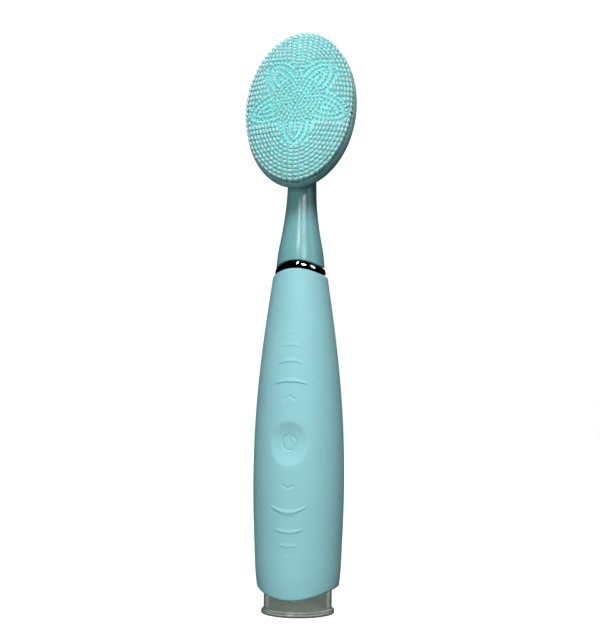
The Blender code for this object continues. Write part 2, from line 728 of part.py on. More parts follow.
def oval(profile, name, steps=ROUND):
    """A turned shape stretched lengthwise into the head's oval outline."""
    stretch = FACE_HALF_LENGTH - FACE_HALF_WIDTH
    obj = make_real(turned_object(name, profile, steps))

    def lengthen(x, y, z):
        radius = hypot(x, y)
        return x, y + (stretch * y / radius if radius > 0.001 else 0.0), z

    return move_points(obj, lengthen)


def make_neck_blank():
    """Solid neck, turned, arched and leaned."""
    low = HANDLE_TOP + GAP + RING_HEIGHT + GAP
    heights = steps_between(NECK_TOP, low, 14)
    outside = [(smooth_value(z, NECK_STATIONS), z) for z in heights]
    profile = [(0.0, NECK_TOP), *outside, (NECK_CAVITY_RADIUS, low), (0.0, low)]
    return move_points(make_real(turned_object("head_body", profile, INNER_ROUND)), shape_neck)


def make_head_body(frame):
    """Neck and domed back in one moulding, with the socket's bore and the hollow behind the pad."""
    body = place(make_neck_blank(), TEAL_GLOSS)
    dome = oval(dome_outline(0.0, 0.0), "dome")
    hollow = oval(dome_outline(SHELL_WALL, 3.0), "hollow")
    for tool in (dome, hollow):
        tool.matrix_world = frame.matrix_world.copy()
        as_cutter(tool)
    boolean(body, dome, "UNION")
    boolean(body, hollow)
    bore_radius = SOCKET_RADIUS + GAP
    profile = [(0.0, SOCKET_TOP + GAP), (bore_radius, SOCKET_TOP + GAP), (bore_radius, 130.0),
               (NECK_CAVITY_RADIUS, 125.0), (NECK_CAVITY_RADIUS, 118.0), (0.0, 118.0)]
    bore = as_cutter(turned_object("neck_bore", profile, 36))
    boolean(body, bore)
    make_real(body)
    body.data.set_sharp_from_angle(angle=radians(35))
    return body


def dome_outline(inset, front):
    """Closed section of the domed back, grown forward by front, shrunk all round by inset."""
    half_width = FACE_HALF_WIDTH + RIM_FLARE - inset
    depth = SHELL_DEPTH - inset
    base = -(PAD_DEPTH + GAP)
    turns = [radians(angle) for angle in steps_between(90, 0, 7)]
    dome = [(half_width * sin(a), base - depth * cos(a)) for a in turns[:-1]]
    top = [(0.0, base + front), (half_width, base + front)]
    return top + (dome if front else dome[1:]) + [(0.0, base - depth)]


def make_pad(frame):
    """Silicone pad as an oval cup; its domed front stands for the tips of the bristles."""
    w = FACE_HALF_WIDTH
    outer = w + RIM_FLARE
    reach = (0.0, 0.25 * w, 0.5 * w, 0.75 * w, w - 0.5)
    front = [(r, PAD_BULGE * (1 - (r / w) ** 2)) for r in reach]
    side = [(w, -0.4), (w + 0.3, -1.8), (outer, -PAD_DEPTH + 0.4), (outer - 0.2, -PAD_DEPTH)]
    inside = [(outer - PAD_SIDE_WALL, -PAD_DEPTH), (outer - PAD_SIDE_WALL, -PAD_FACE), (0.0, -PAD_FACE)]
    profile = front + side + inside
    pad = place(oval(profile, "bristle_pad", ROUND), AQUA_SILICONE)
    plate_edge = outer - PAD_SIDE_WALL - GAP
    profile = disc_profile(plate_edge, -PAD_DEPTH, -PAD_FACE - GAP)
    carrier = place(oval(profile, "pad_carrier", INNER_ROUND), WHITE_PLASTIC)
    for piece in (pad, carrier):
        piece.matrix_world = frame.matrix_world.copy()
    return [pad, carrier]


def make_socket():
    """Sleeve in the neck that grips the shaft, and the round clip below it."""
    profile = ring_profile(BUSH_BORE, SOCKET_RADIUS, SOCKET_LOW, SOCKET_TOP)
    socket = turned("shaft_socket", profile, GREY_PLASTIC, FINE_ROUND)
    outline = arc(3.2, -60, 240, 15, 0.0) + arc(1.9, 240, -60, 15, 0.0)
    clip = flat_outline("socket_clip", outline, 0.6)
    clip.location.z = (SOCKET_LOW - 0.7) * MM
    return [socket, place(clip, STEEL)]


# ---------------------------------------------------------------- assembly

def main():
    """Build every piece and parent it to the empty on its body's joint."""
    make_stand()
    handle = joint_empty("handle_lift", CUP_HEIGHT)
    windows = [window_cutter(*button) for button in BUTTONS]
    hold(handle, *make_skins(windows), *make_top_end(), *make_bottom_end())
    hold(handle, *make_battery(), *make_board(), make_chassis(), *make_motor_body(), *make_coil_leads())
    for name, height, half_width, half_height in BUTTONS:
        press = joint_empty("press_" + name, height, handle, -handle_radius(height))
        housing, plunger = make_switch(name, height)
        hold(handle, housing)
        hold(press, plunger, make_button(name, height, half_width, half_height))
    rotor = joint_empty("shaft_turn", CAN_HIGH, handle)
    hold(rotor, *make_rotor())
    pull = joint_empty("head_pull", SOCKET_LOW, rotor)
    frame = head_frame()
    hold(pull, make_head_body(frame), *make_pad(frame), *make_socket())
    hold(pull, frame)


main()
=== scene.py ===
"""Facial cleansing brush: the visual model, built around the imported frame.

Shapes are worked out in millimetres, in the frame's own axes: +Z up, front towards -Y.
"""
from math import cos, hypot, pi, radians, sin

import bpy
import numpy as np
from mathutils import Matrix, Vector


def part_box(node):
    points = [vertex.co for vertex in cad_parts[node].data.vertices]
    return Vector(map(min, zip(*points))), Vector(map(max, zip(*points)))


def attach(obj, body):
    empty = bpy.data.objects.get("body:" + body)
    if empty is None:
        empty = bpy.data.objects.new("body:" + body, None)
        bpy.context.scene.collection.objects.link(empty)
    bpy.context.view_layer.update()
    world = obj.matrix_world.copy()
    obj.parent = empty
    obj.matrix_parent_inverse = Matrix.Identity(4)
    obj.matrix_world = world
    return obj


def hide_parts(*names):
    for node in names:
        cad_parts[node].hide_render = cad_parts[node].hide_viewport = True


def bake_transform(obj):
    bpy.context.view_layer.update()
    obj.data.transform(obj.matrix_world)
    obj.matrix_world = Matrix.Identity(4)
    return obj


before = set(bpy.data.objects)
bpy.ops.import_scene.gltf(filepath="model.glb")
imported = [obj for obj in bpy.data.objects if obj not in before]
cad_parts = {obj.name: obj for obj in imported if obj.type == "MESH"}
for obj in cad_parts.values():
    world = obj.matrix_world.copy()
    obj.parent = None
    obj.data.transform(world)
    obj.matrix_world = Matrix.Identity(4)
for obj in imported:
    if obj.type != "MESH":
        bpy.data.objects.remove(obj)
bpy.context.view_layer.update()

MM = 0.001


def box_mm(node):
    """Lowest and highest corner of a CAD node, in millimetres."""
    low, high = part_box(node)
    return low / MM, high / MM


SLEEVE_LOW, SLEEVE_HIGH = box_mm("handle_sleeve")
RING_LOW, RING_HIGH = box_mm("trim_ring")
CUP_LOW, CUP_HIGH = box_mm("stand_cup")

# Handle: outer radius at each height, and the arches of its two ends.
HANDLE_STATIONS = ((7.5, 14.2), (12.0, 14.8), (24.0, 15.5), (50.0, 16.1), (71.0, 15.3), (92.5, 13.3),
                   (105.5, 11.6), (120.0, 9.5))
MEAN_RADIUS = 15.5
TOP_ARCH = 1.1
TOP_ARCH_FROM = 104.0
BOTTOM_ARCH = 1.7
BOTTOM_ARCH_TO = 24.0
HANDLE_TOP = SLEEVE_HIGH.z - TOP_ARCH
HANDLE_BOTTOM = SLEEVE_LOW.z + BOTTOM_ARCH
SKIN_THICKNESS = 1.6
KEY_THICKNESS = 2.6
END_ROUNDING = 0.9

# Keys: name, height, half width and half height of the soft patch.
UP_HEIGHT, POWER_HEIGHT, DOWN_HEIGHT = 75.6, 59.8, 45.1
KEYS = (("up", UP_HEIGHT, 4.9, 3.9), ("power", POWER_HEIGHT, 7.7, 8.7), ("down", DOWN_HEIGHT, 4.9, 3.9))

# Relief of the handle
DISH_HALF_WIDTH = 6.7
DISH_HALF_HEIGHT = 7.5
DISH_DEPTH = 1.25
DISH_SOFTNESS = 0.10
SYMBOL_HEIGHT = 60.2
SYMBOL_RADIUS = 2.6
SYMBOL_BAR = (60.6, 63.4)
SYMBOL_OPENING = radians(24)
SYMBOL_STROKE = (0.38, 0.20)
CHEVRON_HALF_WIDTH = 1.9
CHEVRON_RISE = (0.55, -0.5)
CHEVRON_STROKE = (0.40, 0.19)
# Crescents: height of the sharp edge at its middle, half width, sagitta and lift.
UPPER_CRESCENTS = ((81.3, 6.9, 1.15, 0.28), (88.3, 5.0, 0.95, 0.20), (93.9, 3.6, 0.55, 0.12),
                   (98.3, 2.2, 0.3, 0.06))
LOWER_CRESCENTS = ((36.2, 7.4, 3.1, 0.28), (29.4, 5.4, 1.6, 0.21), (24.7, 3.5, 0.7, 0.12),
                   (21.1, 2.2, 0.3, 0.06))
CRESCENT_THICKNESS = 1.5

# Head
FACE_CENTRE = np.array((0.0, -5.2, 179.45))
FACE_LEAN = radians(17.0)
FACE_ACROSS = np.array((1.0, 0.0, 0.0))
FACE_UP = np.array((0.0, sin(FACE_LEAN), cos(FACE_LEAN)))
FACE_OUT = np.array((0.0, -cos(FACE_LEAN), sin(FACE_LEAN)))
FACE_HALF_WIDTH = 19.4
RIM_HALF_WIDTH = 19.95
FACE_STRETCH = 10.2
NECK_STATIONS = ((122.0, 8.6), (126.6, 8.1), (135.0, 6.6), (143.8, 5.5), (152.0, 5.1), (161.0, 4.8),
                 (170.0, 4.0), (178.0, 2.2))
NECK_LEAN = ((122.0, 0.0), (136.0, 0.4), (150.0, 1.4), (160.0, 2.3), (170.0, 3.4), (178.0, 5.0))
NECK_START = NECK_STATIONS[0][0]
NECK_TOP = NECK_STATIONS[-1][0]
NECK_LOW = 122.8
SHELL_BASE = -5.0
SHELL_DEPTH = 7.5
DOME_POWER = 2.1
PAD_BACK = -3.0
PAD_BULGE = 3.1
BRISTLE_LENGTH = 1.1
LEDGE = -2.5

# Bristles: rows of oblong ones that follow the outline, and a flower of round ones in the middle.
ROWS = 14
OUTER_ROW = (18.98, 29.15)
ROW_INWARD = (1.16, 1.385)
OUTER_COUNT = 19
BAR_HALF_LENGTH = 0.74
BAR_RADIUS = 0.40
DOT_PITCH = 1.36
DOT_RADIUS = 0.42
RING_STEP = 1.43
FLOWER_CENTRE = (0.0, 1.1)
FLOWER_RINGS = 6
FLOWER_TURN = radians(-56)
PETALS = 5
PETAL_TIP = 18.4
PETAL_HALF_WIDTH = 5.1
PETAL_WIDEST = 9.5
PETAL_START = 7.6
PETAL_LEVELS = 3
PETAL_INWARD = (2.15, 2.02)


# ---------------------------------------------------------------- curves and meshes

def smooth_curve(at, stations):
    """Values of a smooth curve through (position, value) stations, by cubic Hermite pieces."""
    places = np.array([station[0] for station in stations])
    values = np.array([station[1] for station in stations])
    slopes = np.gradient(values, places)
    at = np.asarray(at, float)
    k = np.clip(np.searchsorted(places, at, side="right") - 1, 0, len(places) - 2)
    span = places[k + 1] - places[k]
    t = (at - places[k]) / span
    rise = (2 * t ** 3 - 3 * t ** 2 + 1) * values[k] + (3 * t ** 2 - 2 * t ** 3) * values[k + 1]
    bend = (t ** 3 - 2 * t ** 2 + t) * slopes[k] + (t ** 3 - t ** 2) * slopes[k + 1]
    return rise + bend * span


def fade(value, start, end):
    """0 before start, 1 after end, smooth between; start may lie above end."""
    t = np.clip((np.asarray(value, float) - start) / (end - start), 0.0, 1.0)
    return t * t * (3 - 2 * t)


def handle_radius(height):
    """Outer radius of the handle."""
    return smooth_curve(height, HANDLE_STATIONS)


def object_from(name, points, faces, smooth=True):
    """A mesh object from points in millimetres."""
    mesh = bpy.data.meshes.new(name)
    mesh.from_pydata((np.asarray(points) * MM).tolist(), [], faces)
    mesh.update()
    if smooth:
        mesh.shade_smooth()
    obj = bpy.data.objects.new(name, mesh)
    bpy.context.scene.collection.objects.link(obj)
    return obj


def turned(name, profile, segments=128, sharp=35, rule=None):
    """A closed ring or disc turned about Z; the profile runs down the outside, then up the inside."""
    rings = []
    points = []
    for radius, height in profile:
        if radius <= 1e-6:
            rings.append([len(points)])
            points.append((0.0, 0.0, height))
            continue
        rings.append(list(range(len(points), len(points) + segments)))
        for k in range(segments):
            angle = 2 * pi * k / segments
            points.append((radius * cos(angle), radius * sin(angle), height))
    faces = []
    loops = len(profile) if profile[0][0] > 1e-6 else len(profile) - 1
    for i in range(loops):
        upper, lower = rings[i], rings[(i + 1) % len(rings)]
        for k in range(segments):
            m = (k + 1) % segments
            if len(upper) == 1:
                faces.append((upper[0], lower[k], lower[m]))
            elif len(lower) == 1:
                faces.append((upper[k], lower[0], upper[m]))
            else:
                faces.append((upper[k], lower[k], lower[m], upper[m]))
    if rule:
        points = [rule(*point) for point in points]
    obj = object_from(name, points, faces)
    obj.data.set_sharp_from_angle(angle=radians(sharp))
    return obj


def rounded_corner(centre, radius, start, end, steps=6):
    """Points on an arc of a profile, by angle in degrees."""
    turns = [radians(start + (end - start) * k / steps) for k in range(steps + 1)]
    return [(centre[0] + radius * cos(a), centre[1] + radius * sin(a)) for a in turns]


# ---------------------------------------------------------------- materials

def node(tree, kind, **inputs):
    """Add a shader node and set its input values by name or number."""
    made = tree.nodes.new(kind)
    for key, value in inputs.items():
        made.inputs[key.replace("_", " ")].default_value = value
    return made


def grained(name, colours, roughness, blotch=6.0, grain=0.35, height=0.01, **fixed):
    """Moulded or machined surface: faint colour patches, a fine grain and an uneven gloss.

    colours are the two ends of its colour, roughness the two ends of its roughness; blotch and
    grain are feature sizes and height the depth of the grain, in millimetres.
    """
    made = bpy.data.materials.new(name)
    made.use_nodes = True
    tree = made.node_tree
    shader = tree.nodes["Principled BSDF"]
    for key, value in fixed.items():
        shader.inputs[key.replace("_", " ")].default_value = value
    place = node(tree, "ShaderNodeTexCoord")
    patches = node(tree, "ShaderNodeTexNoise", Scale=1000.0 / blotch, Detail=3.0, Roughness=0.6)
    tree.links.new(place.outputs["Object"], patches.inputs["Vector"])
    ramp = node(tree, "ShaderNodeValToRGB")
    ramp.color_ramp.elements[0].position = 0.3
    ramp.color_ramp.elements[0].color = (*colours[0], 1.0)
    ramp.color_ramp.elements[1].position = 0.7
    ramp.color_ramp.elements[1].color = (*colours[1], 1.0)
    tree.links.new(patches.outputs["Fac"], ramp.inputs["Fac"])
    tree.links.new(ramp.outputs["Color"], shader.inputs["Base Color"])
    fine = node(tree, "ShaderNodeTexNoise", Scale=1000.0 / grain, Detail=4.0, Roughness=0.65)
    tree.links.new(place.outputs["Object"], fine.inputs["Vector"])
    gloss = node(tree, "ShaderNodeMapRange")
    gloss.inputs["From Min"].default_value = 0.3
    gloss.inputs["From Max"].default_value = 0.7
    gloss.inputs["To Min"].default_value = roughness[0]
    gloss.inputs["To Max"].default_value = roughness[1]
    tree.links.new(fine.outputs["Fac"], gloss.inputs["Value"])
    tree.links.new(gloss.outputs["Result"], shader.inputs["Roughness"])
    if height:
        bump = node(tree, "ShaderNodeBump", Strength=1.0, Distance=height * MM)
        tree.links.new(fine.outputs["Fac"], bump.inputs["Height"])
        tree.links.new(bump.outputs["Normal"], shader.inputs["Normal"])
    return made


def tint_by(made, attribute, colour, power):
    """Mix a material's colour towards another by a mesh attribute that runs from 0 to 1."""
    tree = made.node_tree
    shader = tree.nodes["Principled BSDF"]
    before = shader.inputs["Base Color"].links[0].from_socket
    reader = tree.nodes.new("ShaderNodeAttribute")
    reader.attribute_name = attribute
    curve = tree.nodes.new("ShaderNodeMath")
    curve.operation = "POWER"
    curve.inputs[1].default_value = power
    tree.links.new(reader.outputs["Fac"], curve.inputs[0])
    mix = tree.nodes.new("ShaderNodeMix")
    mix.data_type = "RGBA"
    ends = {socket.name: socket for socket in mix.inputs if socket.type == "RGBA"}
    ends["B"].default_value = (*colour, 1.0)
    tree.links.new(before, ends["A"])
    tree.links.new(curve.outputs[0], mix.inputs[0])
    mixed = [socket for socket in mix.outputs if socket.type == "RGBA"][0]
    tree.links.new(mixed, shader.inputs["Base Color"])


def dress(obj, made):
    """Give an object one material."""
    obj.data.materials.clear()
    obj.data.materials.append(made)
    return obj


MINT = grained("mint_silicone_satin", ((0.305, 0.665, 0.710), (0.325, 0.690, 0.730)), (0.48, 0.58),
               9.0, 0.22, 0.006, Sheen_Weight=0.05, Sheen_Roughness=0.5)
TEAL = grained("teal_gloss_moulding", ((0.178, 0.445, 0.460), (0.192, 0.470, 0.485)), (0.24, 0.30),
               12.0, 0.6, 0.002)
CHROME = grained("chrome_trim", ((0.70, 0.71, 0.72), (0.74, 0.75, 0.76)), (0.03, 0.07), 8.0, 0.5, 0.0,
                 Metallic=1.0)
CLEAR = grained("clear_smoked_plastic", ((0.36, 0.40, 0.36), (0.40, 0.44, 0.40)), (0.06, 0.12), 7.0, 0.5,
                0.002, Transmission_Weight=0.85, IOR=1.49)
SOFT = dict(Subsurface_Weight=1.0, Subsurface_Radius=(0.45, 1.0, 0.95), Subsurface_Scale=0.0040)
# The plate's colour is set darker than the bristles' silicone: painted shade between the bristles.
AQUA_PLATE = grained("aqua_silicone_plate", ((0.24, 0.81, 0.79), (0.27, 0.84, 0.82)), (0.38, 0.5),
                     5.0, 0.3, 0.004, **SOFT)
# The skirt's colour is set darker than the pad's silicone: painted shade on the head's downward rim.
AQUA_SKIRT = grained("aqua_silicone_skirt", ((0.28, 0.74, 0.70), (0.31, 0.77, 0.74)), (0.34, 0.46),
                     6.0, 0.25, 0.004, **SOFT)
AQUA_BRISTLE = grained("aqua_silicone_bristle", ((0.27, 0.86, 0.85), (0.30, 0.89, 0.88)), (0.50, 0.62),
                       4.0, 0.3, 0.003, Specular_IOR_Level=0.3, **SOFT)
# The bristle tips are mixed towards a pale colour: a painted highlight on the lit tips.
tint_by(AQUA_BRISTLE, "tip", (0.58, 0.97, 0.98), 1.6)


# ---------------------------------------------------------------- handle skin and keys

def relief_of(across, height):
    """Height of the moulded relief above the plain handle, in millimetres, negative where cut in."""
    relief = np.zeros(np.broadcast(across, height).shape)
    # Power dish with a soft border
    reach = np.hypot(across / DISH_HALF_WIDTH, (height - POWER_HEIGHT) / DISH_HALF_HEIGHT)
    depth = DISH_DEPTH * (1 - reach ** 2)
    relief -= DISH_SOFTNESS * np.logaddexp(0.0, np.clip(depth / DISH_SOFTNESS, -30, 30))
    # Power symbol: broken ring and bar
    rise = height - SYMBOL_HEIGHT
    end_across, end_rise = SYMBOL_RADIUS * sin(SYMBOL_OPENING), SYMBOL_RADIUS * cos(SYMBOL_OPENING)
    ring = np.where(np.arctan2(np.abs(across), rise) > SYMBOL_OPENING,
                    np.abs(np.hypot(across, rise) - SYMBOL_RADIUS),
                    np.hypot(np.abs(across) - end_across, rise - end_rise))
    bar = np.hypot(across, height - np.clip(height, *SYMBOL_BAR))
    for distance in (ring, bar):
        relief -= groove(distance, *SYMBOL_STROKE)
    # Chevrons
    for middle, way in ((UP_HEIGHT, 1), (DOWN_HEIGHT, -1)):
        start = (0.0, CHEVRON_RISE[0] * way)
        end = (CHEVRON_HALF_WIDTH, CHEVRON_RISE[1] * way)
        distance = segment_distance(np.abs(across), height - middle, start, end)
        relief -= groove(distance, *CHEVRON_STROKE)
    for middle, half, sagitta, lift in UPPER_CRESCENTS:
        relief += crescent(across, height - middle, half, -sagitta, lift)
    for middle, half, sagitta, lift in LOWER_CRESCENTS:
        relief += crescent(across, height - middle, half, sagitta, lift)
    return relief


def groove(distance, width, depth):
    """Rounded groove of a symbol, by distance from its centre line."""
    return depth * np.exp(-(distance / width) ** 2 * 1.6)


def segment_distance(x, y, start, end):
    """Distance from a straight stroke."""
    along = np.subtract(end, start)
    t = np.clip(((x - start[0]) * along[0] + (y - start[1]) * along[1]) / (along @ along), 0, 1)
    return np.hypot(x - start[0] - t * along[0], y - start[1] - t * along[1])


def crescent(across, height, half, sagitta, lift):
    """Raised crescent: it swells slowly from its upper side and ends in a crisp lower edge."""
    t = np.clip(across / half, -1, 1)
    edge = sagitta * t ** 2
    body = np.maximum(CRESCENT_THICKNESS * (1 - t ** 2), 0.02)
    above = (height - edge) / body
    swell = fade(above, 1.0, 0.0) * (height >= edge)
    drop = np.exp(-((height - edge) / 0.30) ** 2) * (height < edge)
    taper = fade(1 - t ** 2, 0.0, 0.6)
    return lift * taper * (swell + drop)


def relief_heights():
    """Heights of the handle's rows: close together over the relief, wider elsewhere."""
    fine_step, wide_step = 0.2, 0.9
    zones = [(middle - sagitta - 0.7, middle + 1.7) for middle, _, sagitta, _ in UPPER_CRESCENTS]
    zones += [(middle - 0.6, middle + sagitta + 1.6) for middle, _, sagitta, _ in LOWER_CRESCENTS]
    zones += [(middle - tall - 0.3, middle + tall + 0.3) for _, middle, _, tall in KEYS]
    rows = [HANDLE_BOTTOM + END_ROUNDING]
    top = HANDLE_TOP - END_ROUNDING
    while rows[-1] < top:
        fine = any(low - fine_step <= rows[-1] <= high for low, high in zones)
        rows.append(rows[-1] + (fine_step if fine else wide_step))
    rows[-1] = top
    return rows


def turning_angles():
    """Angles round the handle from the front: close together over the relief, wider behind."""
    fine_step, wide_step, fine_reach = 0.22, 1.3, 8.4
    half = [0.0]
    while half[-1] < pi:
        arc = half[-1] * MEAN_RADIUS
        step = fine_step if arc < fine_reach else min(fine_step + (arc - fine_reach) * 0.25, wide_step)
        half.append(half[-1] + step / MEAN_RADIUS)
    half = np.array(half) * (pi / half[-1])
    return np.concatenate([-half[:0:-1], half[:-1]])


def arched(angle, height):
    """Height of a handle point once both ends are arched, for its angle from the front."""
    top = TOP_ARCH * fade(height, TOP_ARCH_FROM, HANDLE_TOP)
    bottom = BOTTOM_ARCH * fade(height, BOTTOM_ARCH_TO, HANDLE_BOTTOM)
    return height + (top - bottom) * np.cos(2 * angle)


def surface_point(angle, radius, height):
    """Point at an angle from the front."""
    return np.stack([radius * np.sin(angle), -radius * np.cos(angle), height], axis=-1)


def grid_normals(points):
    """Outward normals of a grid of points, rows by columns, that closes on itself along a row."""
    wide = np.concatenate([points[:, -1:], points, points[:, :1]], axis=1)
    across = wide[:, 2:] - wide[:, :-2]
    up = np.gradient(points, axis=0)
    normal = np.cross(across, up)
    return normal / np.linalg.norm(normal, axis=-1, keepdims=True)


def handle_grids():
    """Heights and angles of the skin's grid, and its outer points, inner points and outer normals."""
    angles = turning_angles()
    rows = relief_heights()
    turns = [radians(angle) for angle in (90, 72, 54, 36, 18)]
    insets = [END_ROUNDING * (1 - cos(a)) for a in turns]
    low_ends = [HANDLE_BOTTOM + END_ROUNDING * (1 - sin(a)) for a in turns]
    high_ends = [HANDLE_TOP - END_ROUNDING * (1 - sin(a)) for a in turns]
    heights = np.array(low_ends + rows + high_ends[::-1])
    inset = np.array(insets + [0.0] * len(rows) + insets[::-1])
    height, angle = np.meshgrid(heights, angles, indexing="ij")
    placed = arched(angle, height)
    radius = handle_radius(placed)
    front = np.abs(angle) < pi / 2
    relief = np.where(front, relief_of(angle * radius, height), 0.0)
    outer = surface_point(angle, radius - inset[:, None] + relief, placed)
    thickness = np.full(height.shape, SKIN_THICKNESS)
    for _, middle, wide, tall in KEYS:
        reach = np.hypot(angle * radius / wide, (height - middle) / tall)
        thickness += np.where(front, (KEY_THICKNESS - SKIN_THICKNESS) * fade(reach, 0.92, 0.78), 0.0)
    inner = surface_point(angle, radius - thickness, placed)
    return heights, angles, outer, inner, grid_normals(outer)


def shell_piece(name, cells, outer, inner, normals):
    """Closed piece of skin from the grid cells that it covers, with the grid's own smooth normals."""
    row_count, column_count = outer.shape[:2]
    total = row_count * column_count

    def corner(row, column):
        return row * column_count + column % column_count

    rows, columns = np.nonzero(cells)
    quads = np.stack([corner(rows, columns), corner(rows, columns + 1), corner(rows + 1, columns + 1),
                      corner(rows + 1, columns)], axis=1)
    padded = np.zeros((row_count + 1, column_count), bool)
    padded[1:row_count] = cells
    walls = []
    for i, j in zip(rows, columns):
        if not padded[i, j]:
            walls.append((corner(i, j), corner(i, j + 1)))
        if not padded[i + 2, j]:
            walls.append((corner(i + 1, j + 1), corner(i + 1, j)))
        if not cells[i, (j + 1) % column_count]:
            walls.append((corner(i, j + 1), corner(i + 1, j + 1)))
        if not cells[i, j - 1]:
            walls.append((corner(i + 1, j), corner(i, j)))
    first, second = np.array(walls).T
    sides = np.stack([second, first, first + total, second + total], axis=1)
    faces = np.concatenate([quads, quads[:, ::-1] + total, sides])
    used, renumbered = np.unique(faces, return_inverse=True)
    faces = renumbered.reshape(faces.shape)
    points = np.concatenate([outer.reshape(-1, 3), inner.reshape(-1, 3)])[used]
    directions = np.concatenate([normals.reshape(-1, 3), -normals.reshape(-1, 3)])[used]
    obj = object_from(name, points, faces.tolist())
    skin_faces, side_faces = faces[:2 * len(quads)], faces[2 * len(quads):]
    a, b, c = (points[side_faces[:, k]] for k in range(3))
    side = np.cross(b - a, c - b)
    side /= np.maximum(np.linalg.norm(side, axis=1, keepdims=True), 1e-9)
    loop_normals = np.concatenate([directions[skin_faces.ravel()], np.repeat(side, 4, axis=0)])
    obj.data.normals_split_custom_set(loop_normals.tolist())
    return dress(obj, MINT)


def key_cells(height, angle, middle, wide, tall):
    """The rectangle of grid cells that a key takes out of the skin."""
    arc = angle * handle_radius(height)
    cells = (np.abs(arc) < wide + 0.2) & (np.abs(height - middle) < tall + 0.1) & (np.abs(angle) < pi / 2)
    rows = np.nonzero(cells.any(axis=1))[0]
    columns = np.nonzero(cells[rows[len(rows) // 2]])[0]
    cells[:] = False
    cells[rows[0]:rows[-1] + 1, columns[0]:columns[-1] + 1] = True
    return cells


def make_handle():
    """Silicone skin with its three soft keys, one continuous surface cut along grid lines."""
    heights, angles, outer, inner, normals = handle_grids()
    row_middle = (heights[1:] + heights[:-1]) / 2
    column_middle = (angles + np.append(angles[1:], angles[0] + 2 * pi)) / 2
    height, angle = np.meshgrid(row_middle, column_middle, indexing="ij")
    patches = [key_cells(height, angle, middle, wide, tall) for _, middle, wide, tall in KEYS]
    skin = shell_piece("handle_skin", ~np.any(patches, axis=0), outer, inner, normals)
    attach(skin, "handle")
    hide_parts("handle_sleeve")
    for (name, middle, wide, tall), cells in zip(KEYS, patches):
        key = shell_piece(name + "_key", cells, outer, inner, normals)
        low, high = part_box("button_" + name)
        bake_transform(key)
        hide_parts("button_" + name)


# ---------------------------------------------------------------- ring and stand

def arch_ring(x, y, z):
    """Arch a whole ring as the top of the handle is arched."""
    double_turn = (y * y - x * x) / (x * x + y * y)
    return x, y, z + TOP_ARCH * double_turn


def make_ring():
    """Chrome band between handle and head, with a full round face."""
    low = RING_LOW.z + TOP_ARCH
    high = RING_HIGH.z - TOP_ARCH
    bore, top_radius, low_radius = 7.3, 8.45, 8.83
    face = [(top_radius, high)]
    steps = 22
    for k in range(steps + 1):
        t = k / steps
        height = high - 0.12 - (high - low - 0.24) * t
        belly = 0.10 * sin(pi * t) + 0.38 * t + 0.16 * (1 - (2 * t - 1) ** 6)
        face.append((top_radius + 0.05 + belly, height))
    face.append((low_radius, low))
    profile = [*face, (bore + 0.2, low), (bore, low + 0.2), (bore, high - 0.2), (bore + 0.2, high)]
    ring = dress(turned("trim_band", profile, 192, 40, arch_ring), CHROME)
    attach(ring, "handle")
    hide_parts("trim_ring")


def make_stand():
    """Clear cup with a foot flange, its edges rounded as moulded."""
    foot = 12.9
    wall = 12.0
    inner = 10.7
    high = CUP_HIGH.z
    thick = 1.4
    outside = [*rounded_corner((wall - 0.35, high - 0.35), 0.35, 90, 0), (wall, thick + 0.6),
               *rounded_corner((wall + 0.4, thick + 0.4), 0.4, 180, 270, 5),
               *rounded_corner((foot - 0.45, thick - 0.45), 0.45, 90, 0),
               *rounded_corner((foot - 0.3, 0.3), 0.3, 0, -90),
               (11.6, 0.0), (11.2, 0.35), (10.2, 0.35), (9.8, 0.0), (0.0, 0.0)]
    inside = [(0.0, thick), (inner - 0.9, thick), *rounded_corner((inner - 0.8, thick + 0.8), 0.8, -90, 0),
              (inner, high - 0.4), *rounded_corner((inner + 0.35, high - 0.35), 0.35, 180, 90)]
    cup = dress(turned("clear_cup", [*inside, *outside], 160, 40), CLEAR)
    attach(cup, "stand")
    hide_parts("stand_cup")


# ---------------------------------------------------------------- head shell and neck

def face_to_world(points):
    """Points given across, up and out of the face, in the frame's axes."""
    points = np.asarray(points, float)
    return FACE_CENTRE + points @ np.stack([FACE_ACROSS, FACE_UP, FACE_OUT])


def world_to_face(points):
    """The reverse of face_to_world."""
    return (np.asarray(points) - FACE_CENTRE) @ np.stack([FACE_ACROSS, FACE_UP, FACE_OUT]).T


def neck_distance(points):
    """Rough distance outside the neck."""
    height = points[:, 2]
    radius = smooth_curve(np.clip(height, NECK_START, NECK_TOP), NECK_STATIONS)
    lean = smooth_curve(np.clip(height, NECK_START, NECK_TOP), NECK_LEAN)
    return np.hypot(points[:, 0], points[:, 1] - lean) - radius


def dome_value(points):
    """Level of the domed back: 0 on its surface, positive outside."""
    local = world_to_face(points)
    wide = np.hypot(local[:, 0] / RIM_HALF_WIDTH, local[:, 1] / (RIM_HALF_WIDTH + FACE_STRETCH))
    deep = np.maximum(SHELL_BASE - local[:, 2], 0.0) / SHELL_DEPTH
    return (wide ** DOME_POWER + deep ** DOME_POWER + 1e-12) ** (1 / DOME_POWER) - 1.0


def gradient_of(field, points, step=0.01):
    """Numerical gradient of a field of points."""
    columns = []
    for axis in range(3):
        nudge = np.zeros(3)
        nudge[axis] = step
        columns.append((field(points + nudge) - field(points - nudge)) / (2 * step))
    return np.stack(columns, axis=1)


def dome_distance(points):
    """Rough distance outside the domed back."""
    slope = np.linalg.norm(gradient_of(dome_value, points), axis=1)
    return dome_value(points) / np.maximum(slope, 0.02)


def head_distance(points, softness=3.2):
    """Distance outside neck and dome joined by a soft fillet."""
    a = neck_distance(points)
    b = dome_distance(points)
    h = np.clip(0.5 + 0.5 * (b - a) / softness, 0.0, 1.0)
    return b * (1 - h) + a * h - softness * h * (1 - h)


